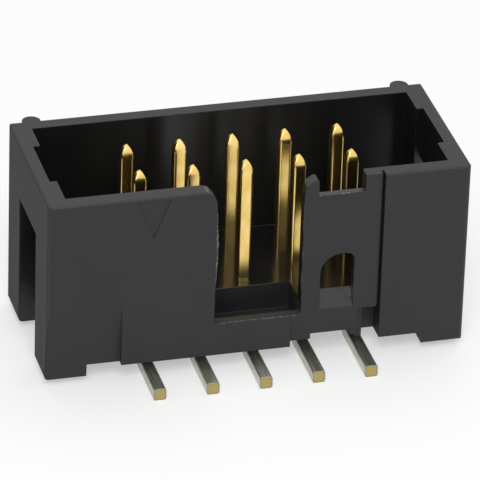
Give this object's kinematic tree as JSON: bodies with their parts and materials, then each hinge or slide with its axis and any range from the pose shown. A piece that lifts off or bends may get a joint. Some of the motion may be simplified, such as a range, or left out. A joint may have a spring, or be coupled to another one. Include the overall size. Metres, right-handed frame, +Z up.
{
  "type": "box header",
  "caption": "Shrouded surface-mount pin header with two rows of square gold contacts, a polarising key slot, a lock window and leads bent out to both sides.",
  "frame": {"origin": "on the board, under the middle of the header's bounding box", "axes": "+X along the rows, away from contact 1; +Y across the rows, away from the key slot; +Z up out of the board"},
  "size_m": [0.02, 0.012, 0.0097],
  "materials": {
    "housing": "black moulded thermoplastic, finely textured",
    "contact": "gold-plated post, dull tin-plated lead, bare cut end"
  },
  "bodies": {
    "root": {"housing": "housing", "contact_1": "contact", "contact_2": "contact", "contact_3": "contact", "contact_4": "contact", "contact_5": "contact", "contact_6": "contact", "contact_7": "contact", "contact_8": "contact", "contact_9": "contact", "contact_10": "contact"}
  },
  "joints": []
}
